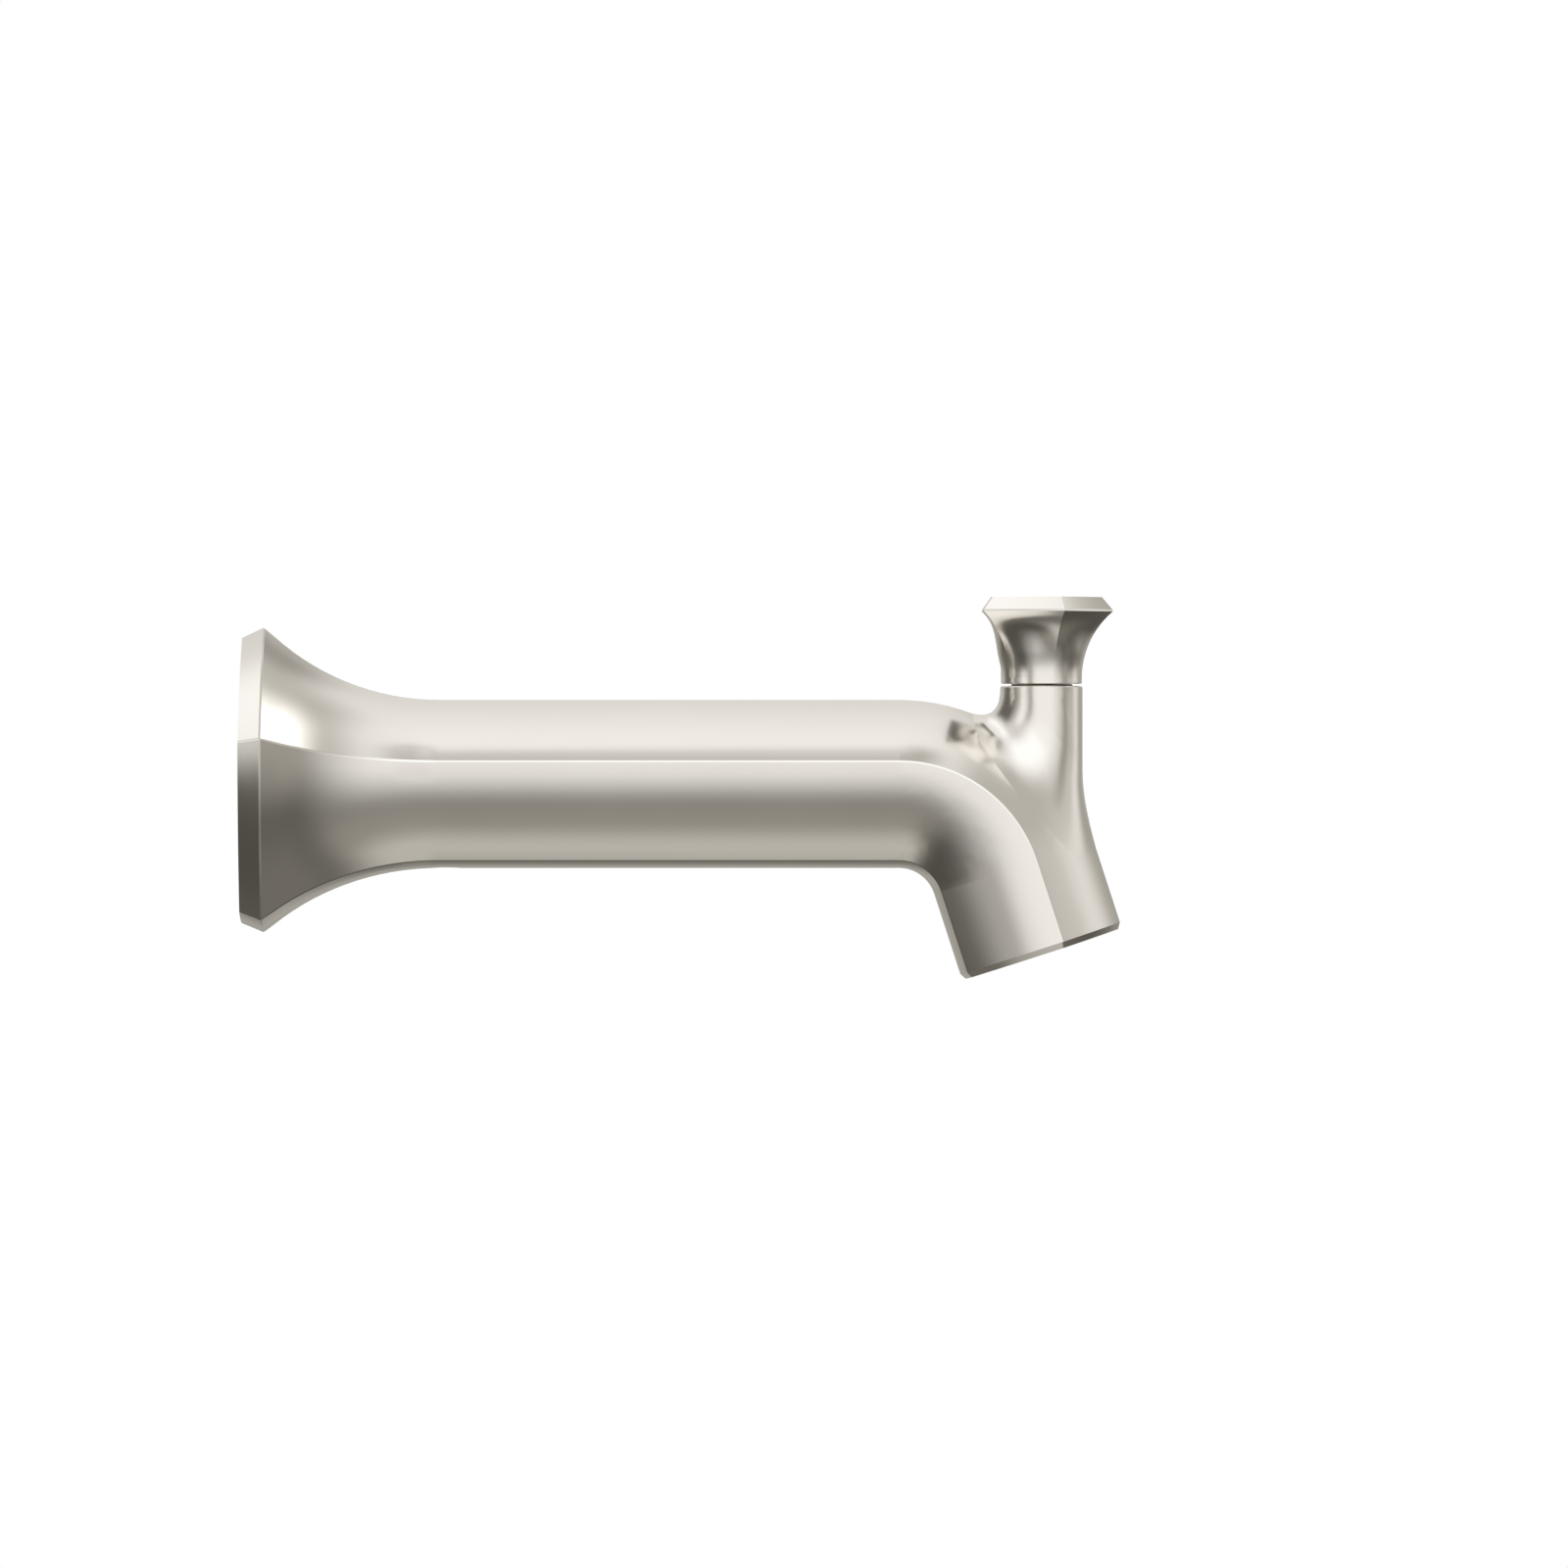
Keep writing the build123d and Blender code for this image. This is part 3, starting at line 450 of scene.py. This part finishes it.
inlet_steel = turned_metal("screw_steel", light=(0.66, 0.65, 0.63), deep=(0.50, 0.49, 0.47), roughness=0.24,
                           axis="Z", centre=(0.047, 0.0, 0.0), feed=0.00011, groove_depth=0.000003)
low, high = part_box("inlet_set_screw")
build_piece("inlet_grub_screw", grub_shape, "spout", "stainless_steel", "inlet_set_screw",
            Radius=(high[0] - low[0]) / 2, Length=high[2] - low[2], Pitch=0.0008, Depth=0.00042, Chamfer=0.0005,
            Rows=96, Columns=56, Socket_Radius=0.0015, Socket_Depth=0.0025, Finish=inlet_steel,
            Place=((low[0] + high[0]) / 2, 0.0, (low[2] + high[2]) / 2), Turn=(math.pi, 0.0, 0.0))


# Waterway tube, valve sleeve, rod bushing and piston: injection moulded in white acetal, with a
# parting line along each. The tube carries the water from the adapter to the diverter.
acetal_light = (0.82, 0.815, 0.79)
acetal_deep = (0.74, 0.73, 0.69)
flash_colour = (0.66, 0.65, 0.61)
flash_height = 0.00002
acetal, tree, shader, place = open_material("white_acetal")
marks = effect(tree, grain_group, **{"Place": place, "Grain Size": 0.00035, "Patch Size": 0.015})
side = add_node(tree, "ShaderNodeSeparateXYZ", {0: place}).outputs["Y"]
parting = add_node(tree, "ShaderNodeMapRange",
                   {"Value": calc(tree, "ABSOLUTE", side), "From Min": 0.00006, "From Max": 0.00018, "To Min": 1.0,
                    "To Max": 0.0}, interpolation_type="SMOOTHSTEP").outputs["Result"]
tint = blend_colours(tree, marks["Patches"], acetal_deep, acetal_light)
tree.links.new(blend_colours(tree, parting, tint, flash_colour), shader.inputs["Base Color"])
tree.links.new(spread(tree, marks["Grain"], 0.30, 0.46), shader.inputs["Roughness"])
raise_surface(tree, shader, calc(tree, "MULTIPLY_ADD", marks["Grain"], 0.2, parting), flash_height)
for moulding in ("waterway_tube", "valve_sleeve", "rod_bushing", "diverter_piston"):
    coat_node(moulding, acetal)


# Gland nut: turned brass with a fine thread and two holes for a pin spanner, dulled by the water and coloured much
# darker as painted shade for the shadowed gap between the neck and the knob.
# It screws into the neck, holds the sleeve down and carries the rod's bushing.
gland_shape, given, ending = open_shape("gland_nut", thread_sizes + [
    ("Bore", "Float"), ("Spanner Circle", "Float"), ("Spanner Hole", "Float"), ("Spanner Depth", "Float")])
half_length = times(gland_shape, given["Length"], 0.5)
first_hole = vector(gland_shape, Y=times(gland_shape, given["Spanner Circle"], -1.0), Z=half_length)
to_second = vector(gland_shape, Y=times(gland_shape, given["Spanner Circle"], 2.0))
two_points = add_node(gland_shape, "GeometryNodeMeshLine",
                      {"Count": 2, "Start Location": first_hole, "Offset": to_second}).outputs["Mesh"]
pin = bar(gland_shape, 24, given["Spanner Hole"], times(gland_shape, given["Spanner Depth"], 2.0))
pins = copies(gland_shape, two_points, pin)
bore = bar(gland_shape, 64, given["Bore"], times(gland_shape, given["Length"], 2.0))
threaded = thread_bar(gland_shape, given)
close_shape(gland_shape, given, ending, join_shapes(gland_shape, "DIFFERENCE", threaded, bore, pins))

neck_x = 0.1835
# painted shade: the brass colour is made dark to stand for the shadow in the gap under the knob
dull_brass_painted_shade = turned_metal("dulled_brass", light=(0.30, 0.23, 0.13), deep=(0.20, 0.15, 0.08), roughness=0.42,
                          axis="Z", centre=(neck_x, 0.0, 0.0), feed=0.00018, groove_depth=0.000005)
low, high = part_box("gland_nut")
build_piece("gland_screw", gland_shape, "spout", "cast_brass", "gland_nut",
            Radius=(high[0] - low[0]) / 2, Length=high[2] - low[2], Pitch=0.001, Depth=0.0005, Chamfer=0.0004,
            Rows=64, Columns=96, Bore=0.00425, Spanner_Circle=0.0058, Spanner_Hole=0.0008, Spanner_Depth=0.0022,
            Finish=dull_brass_painted_shade, Place=(neck_x, 0.0, (low[2] + high[2]) / 2), Turn=(0.0, 0.0, 0.0))


# Knob: a five-sided pull, cast and plated like the body, held on the rod by a small grub screw
# that enters from the wall's side.
coat_node("knob", nickel)
knob_screw_z = 0.0277
knob_steel = turned_metal("knob_screw_steel", light=(0.62, 0.61, 0.59), deep=(0.46, 0.45, 0.43), roughness=0.26,
                          axis="X", centre=(0.0, 0.0, knob_screw_z), feed=0.0001, groove_depth=0.000002)
low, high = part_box("knob_set_screw")
build_piece("knob_grub_screw", grub_shape, "diverter", "stainless_steel", "knob_set_screw",
            Radius=(high[1] - low[1]) / 2, Length=high[0] - low[0], Pitch=0.0005, Depth=0.00025, Chamfer=0.0003,
            Rows=110, Columns=40, Socket_Radius=0.00075, Socket_Depth=0.00125, Finish=knob_steel,
            Place=((low[0] + high[0]) / 2, 0.0, (low[2] + high[2]) / 2), Turn=(0.0, -math.pi / 2, 0.0))


# Lift rod and valve: a stainless rod, turned down in steps, with a clip under the piston and a
# plate, rubber washer and brass disc held on its tail by a nut. The knob lifts them all together.
rod_steel = turned_metal("rod_steel", light=(0.68, 0.67, 0.655), deep=(0.54, 0.53, 0.51), roughness=0.18,
                         axis="Z", centre=(neck_x, 0.0, 0.0), feed=0.00009, groove_depth=0.000002)
for turned_piece in ("lift_rod", "piston_clip", "washer_plate", "valve_nut"):
    coat_node(turned_piece, rod_steel)
disc_brass = turned_metal("valve_brass", light=(0.76, 0.56, 0.27), deep=(0.62, 0.42, 0.18), roughness=0.28,
                          axis="Z", centre=(neck_x, 0.0, 0.0), feed=0.0002, groove_depth=0.000005)
coat_node("valve_disc", disc_brass)


# Stream straightener: three rings and twelve vanes moulded in one piece of acetal, dropped into
# the outlet and held there by a snap ring.
vane_height = 0.96              # as a share of the rings' length
vane_rounding = 0.45            # as a share of the vane's thickness
vaned_shape, given, ending = open_shape("stream_straightener", [
    ("Outer Radius", "Float"), ("Hub Radius", "Float"), ("Band", "Float"), ("Length", "Float"), ("Vane", "Float"),
    ("Vane Count", "Int"), ("Rounding", "Float")])
band_section = rounded_section(vaned_shape, given["Band"], given["Length"], given["Rounding"])
middle = times(vaned_shape, calc(vaned_shape, "ADD", given["Outer Radius"], given["Hub Radius"]), 0.5)
half_band = times(vaned_shape, given["Band"], 0.5)
outer_line, middle_line, hub_line = [
    less(vaned_shape, edge, half_band) for edge in (given["Outer Radius"], middle, given["Hub Radius"])]
bands = []
for radius in (outer_line, middle_line, hub_line):
    circle = add_node(vaned_shape, "GeometryNodeCurvePrimitiveCircle", {"Resolution": 96, "Radius": radius})
    bands.append(swept(vaned_shape, circle.outputs["Curve"], band_section))
vane_line = add_node(vaned_shape, "GeometryNodeCurvePrimitiveLine",
                     {"Start": vector(vaned_shape, X=hub_line), "End": vector(vaned_shape, X=outer_line)})
vane_section = rounded_section(vaned_shape, given["Vane"], times(vaned_shape, given["Length"], vane_height),
                               times(vaned_shape, given["Vane"], vane_rounding))
vane = swept(vaned_shape, vane_line.outputs["Curve"], vane_section, caps=True)
spokes = add_node(vaned_shape, "GeometryNodePoints", {"Count": given["Vane Count"]}).outputs[0]
index = add_node(vaned_shape, "GeometryNodeInputIndex").outputs[0]
spoke_turn = times(vaned_shape, calc(vaned_shape, "DIVIDE", index, given["Vane Count"]), 2 * math.pi)
vanes = copies(vaned_shape, spokes, vane, Rotation=vector(vaned_shape, Z=spoke_turn))
close_shape(vaned_shape, given, ending, join_shapes(vaned_shape, "UNION", *bands, vanes))

outlet_tilt = math.radians(162)     # turns +Z down the outlet
flow = Vector((math.sin(outlet_tilt), 0.0, math.cos(outlet_tilt)))
leg_top = Vector((0.176143, 0.0, -0.018449))    # on the outlet's axis, where the elbow's bend ends
straightener_down, snap_ring_down = 0.0133, 0.0154      # distances from there to their middles
build_piece("outlet_straightener", vaned_shape, "spout", "white_acetal", "stream_straightener",
            Outer_Radius=0.01425, Hub_Radius=0.0032, Band=0.0011, Length=0.003, Vane=0.0009, Vane_Count=12,
            Rounding=0.0003, Finish=acetal, Place=leg_top + flow * straightener_down, Turn=(0.0, outlet_tilt, 0.0))
build_piece("outlet_snap_ring", snap_shape, "spout", "stainless_steel", "outlet_retaining_ring",
            Radius=0.013975, Gap_Heading=0.0, Place=leg_top + flow * snap_ring_down, Turn=(0.0, outlet_tilt, 0.0),
            **snap_sizes)


# Studio: a plain white room. A soft box stands over the front and another on the right, with
# grey gaps between them, a lit wall low in front, and a warm grey table that lies below it all.
panel_group, given, ending = open_group(
    "soft_panel", "ShaderNodeTree",
    [("Direction", "Vector"), ("Azimuth", "Float"), ("Elevation", "Float"), ("Half Width", "Float"),
     ("Half Height", "Float"), ("Side Softness", "Float"), ("End Softness", "Float")], [("Panel", "Float")])
axes = add_node(panel_group, "ShaderNodeSeparateXYZ", {0: given["Direction"]}).outputs
heading = calc(panel_group, "ARCTAN2", axes["X"], calc(panel_group, "MULTIPLY", axes["Y"], -1.0))
height = calc(panel_group, "ARCSINE", axes["Z"])


def panel_edge(distance, half, softness):
    """1 inside a panel's edge and 0 outside it, with a soft step between."""
    low = less(panel_group, half, softness)
    high = calc(panel_group, "ADD", half, softness)
    return add_node(panel_group, "ShaderNodeMapRange",
                    {"Value": distance, "From Min": low, "From Max": high, "To Min": 1.0, "To Max": 0.0},
                    interpolation_type="SMOOTHSTEP").outputs["Result"]


turned = calc(panel_group, "WRAP", less(panel_group, heading, given["Azimuth"]), math.pi, -math.pi)
raised = less(panel_group, height, given["Elevation"])
across = panel_edge(calc(panel_group, "ABSOLUTE", turned), given["Half Width"], given["Side Softness"])
up = panel_edge(calc(panel_group, "ABSOLUTE", raised), given["Half Height"], given["End Softness"])
close_group(panel_group, ending, Panel=calc(panel_group, "MULTIPLY", across, up))

room = bpy.data.worlds.new("studio")
room.use_nodes = True
bpy.context.scene.world = room
tree = room.node_tree
tree.nodes.clear()
direction = tree.nodes.new("ShaderNodeTexCoord").outputs["Generated"]
axes = add_node(tree, "ShaderNodeSeparateXYZ", {0: direction}).outputs
rise = calc(tree, "DIVIDE", calc(tree, "ARCSINE", axes["Z"]), math.pi / 2)
climb = spread(tree, calc(tree, "MULTIPLY_ADD", rise, 0.5, 0.5), 0.0, 1.0)
walls = add_node(tree, "ShaderNodeValToRGB", {0: climb})
# elevation in degrees and tone of the room's bare walls, floor and ceiling
wall_tones = [(-90, 0.16), (-60, 0.12), (-42, 0.07), (-18, 0.07), (-8, 0.20), (0, 0.50), (12, 0.70),
              (50, 0.80), (62, 1.06), (75, 1.10), (90, 0.92)]


def warmed(tone):
    """A grey of that tone, warmer the darker it is."""
    return tone * (1 + 0.05 * (1 - tone)), tone, tone * (1 - 0.14 * (1 - tone))


ramp = walls.color_ramp
while len(ramp.elements) > 1:
    ramp.elements.remove(ramp.elements[0])
for number, (elevation, tone) in enumerate(wall_tones):
    stop = ramp.elements[0] if number == 0 else ramp.elements.new(0.5)
    stop.position = (elevation + 90) / 180
    stop.color = (*warmed(tone), 1.0)
light = walls.outputs["Color"]
# azimuth (0 in front, 90 to the right), elevation, half width, half height, softness of sides and
# of ends, all in degrees, and tone
panels = [
    (180, -14, 34, 10, 15, 10, 0.36),   # floor behind
    (8, -1, 40, 20, 24, 17, 0.88),      # lit wall, low in front
    (20, -44, 40, 15, 14, 10, 0.26),    # table in front
    (8, -58, 40, 9, 16, 8, 0.50),       # the table's lit patch
    (92, -38, 24, 16, 16, 12, 0.15),    # table on the right
    (-95, 60, 58, 9, 18, 8, 1.02),      # bright ceiling on the left
    (8, 34, 30, 24, 20, 10, 1.08),      # soft box over the front
    (-52, 8, 9, 15, 7, 9, 0.90),        # strip light on the left
    (-32, -3, 5, 12, 6, 7, 0.34),       # gap between the strip and the lit wall
    (98, 42, 42, 20, 14, 10, 0.45),     # grey corner on the right
    (70, 2, 9, 16, 8, 9, 0.32),         # gap beside the lit wall
    (110, 12, 10, 17, 9, 8, 0.74),      # pale card on the right
    (142, 12, 14, 18, 9, 9, 0.35),      # dark card behind the right
    (150, 34, 9, 8, 9, 8, 0.28),        # its darker top
    (-102, 8, 27, 27, 14, 12, 0.12),    # dark card on the left
    (25, 78, 52, 6, 24, 7, 0.36),       # shade over the front
]
for azimuth, elevation, half_width, half_height, sides, ends, tone in panels:
    panel = effect(tree, panel_group, **{
        "Direction": direction, "Azimuth": math.radians(azimuth), "Elevation": math.radians(elevation),
        "Half Width": math.radians(half_width), "Half Height": math.radians(half_height),
        "Side Softness": math.radians(sides), "End Softness": math.radians(ends)})["Panel"]
    light = blend_colours(tree, panel, light, warmed(tone))
studio_strength, paper_strength = 1.1, 1.0
studio = add_node(tree, "ShaderNodeBackground", {"Color": light, "Strength": studio_strength})
paper = add_node(tree, "ShaderNodeBackground", {"Color": (1.0, 1.0, 1.0, 1.0), "Strength": paper_strength})
seen = tree.nodes.new("ShaderNodeLightPath").outputs["Is Camera Ray"]
backdrop = add_node(tree, "ShaderNodeMixShader", {0: seen, 1: studio.outputs[0], 2: paper.outputs[0]})
tree.links.new(backdrop.outputs[0], tree.nodes.new("ShaderNodeOutputWorld").inputs["Surface"])

# Floor: a pale matt sheet below the spout. It is seen from above only, and it isn't mirrored in the metal.
floor_height = -0.30
floor_low, floor_high = (-6.0, -6.0), (6.0, 2.3)
floor_corners = [(floor_low[0], floor_low[1]), (floor_high[0], floor_low[1]), floor_high,
                 (floor_low[0], floor_high[1])]
floor_mesh = bpy.data.meshes.new("floor")
floor_mesh.from_pydata([(*corner, floor_height) for corner in floor_corners], [], [(0, 1, 2, 3)])
floor = bpy.data.objects.new("floor", floor_mesh)
bpy.context.scene.collection.objects.link(floor)
pale, tree, shader, place = open_material("pale_floor")
marks = effect(tree, grain_group, **{"Place": place, "Grain Size": 0.004, "Patch Size": 0.8})
paper_tint = blend_colours(tree, marks["Patches"], (0.80, 0.80, 0.79), (0.84, 0.84, 0.83))
tree.links.new(paper_tint, shader.inputs["Base Color"])
shader.inputs["Roughness"].default_value = 0.9
shader.inputs["Emission Color"].default_value = (1.0, 1.0, 1.0, 1.0)
shader.inputs["Emission Strength"].default_value = 0.35
clear = tree.nodes.new("ShaderNodeBsdfTransparent")
under = tree.nodes.new("ShaderNodeNewGeometry").outputs["Backfacing"]
one_sided = add_node(tree, "ShaderNodeMixShader", {0: under, 1: shader.outputs[0], 2: clear.outputs[0]})
tree.links.new(one_sided.outputs[0], tree.nodes["Material Output"].inputs["Surface"])
floor_mesh.materials.append(pale)
floor.visible_glossy = False
floor.visible_shadow = False
floor.visible_diffuse = False


# Small soft box over the nose, turned back towards the flange. Its cloth is brightest in the
# middle, and a grid over it keeps its light off the rest.
lamp_place = Vector((0.37, 0.10, 0.34))
lamp_aim = Vector((-0.04, -0.02, 0.02))
bright_middle, dark_edge = 0.12, 0.5        # distances from the cloth's middle, in shares of its width
lamp_data = bpy.data.lights.new("small_soft_box", "AREA")
lamp_data.size = 0.34
lamp_data.energy = 0.038
lamp_data.spread = math.radians(50)
lamp_data.use_nodes = True
tree = lamp_data.node_tree
cloth = tree.nodes.new("ShaderNodeNewGeometry").outputs["Parametric"]
offset = add_node(tree, "ShaderNodeVectorMath", {0: cloth, 1: (0.5, 0.5, 0.0)}, operation="SUBTRACT")
flat = add_node(tree, "ShaderNodeVectorMath", {0: offset.outputs["Vector"], 1: (1.0, 1.0, 0.0)},
                operation="MULTIPLY")
from_middle = add_node(tree, "ShaderNodeVectorMath", {0: flat.outputs["Vector"]}, operation="LENGTH")
glow = add_node(tree, "ShaderNodeMapRange",
                {"Value": from_middle.outputs["Value"], "From Min": bright_middle, "From Max": dark_edge,
                 "To Min": 1.0, "To Max": 0.0}, interpolation_type="SMOOTHSTEP").outputs["Result"]
tree.links.new(glow, tree.nodes["Emission"].inputs["Strength"])
lamp = bpy.data.objects.new("small_soft_box", lamp_data)
bpy.context.scene.collection.objects.link(lamp)
lamp.location = lamp_place
lamp.rotation_euler = (lamp_aim - lamp_place).to_track_quat("-Z", "Y").to_euler()
lamp.visible_camera = False

# Camera: level with the spout's axis, far back on a long lens.
camera_data = bpy.data.cameras.new("camera")
camera_data.lens = 370
camera_data.sensor_width = 36
camera_data.clip_end = 50
camera = bpy.data.objects.new("camera", camera_data)
bpy.context.scene.collection.objects.link(camera)
camera.location = (0.1244, -3.7, 0.0011)
camera.rotation_euler = (math.pi / 2, 0, 0)
bpy.context.scene.camera = camera
bpy.context.scene.view_settings.view_transform = "Standard"
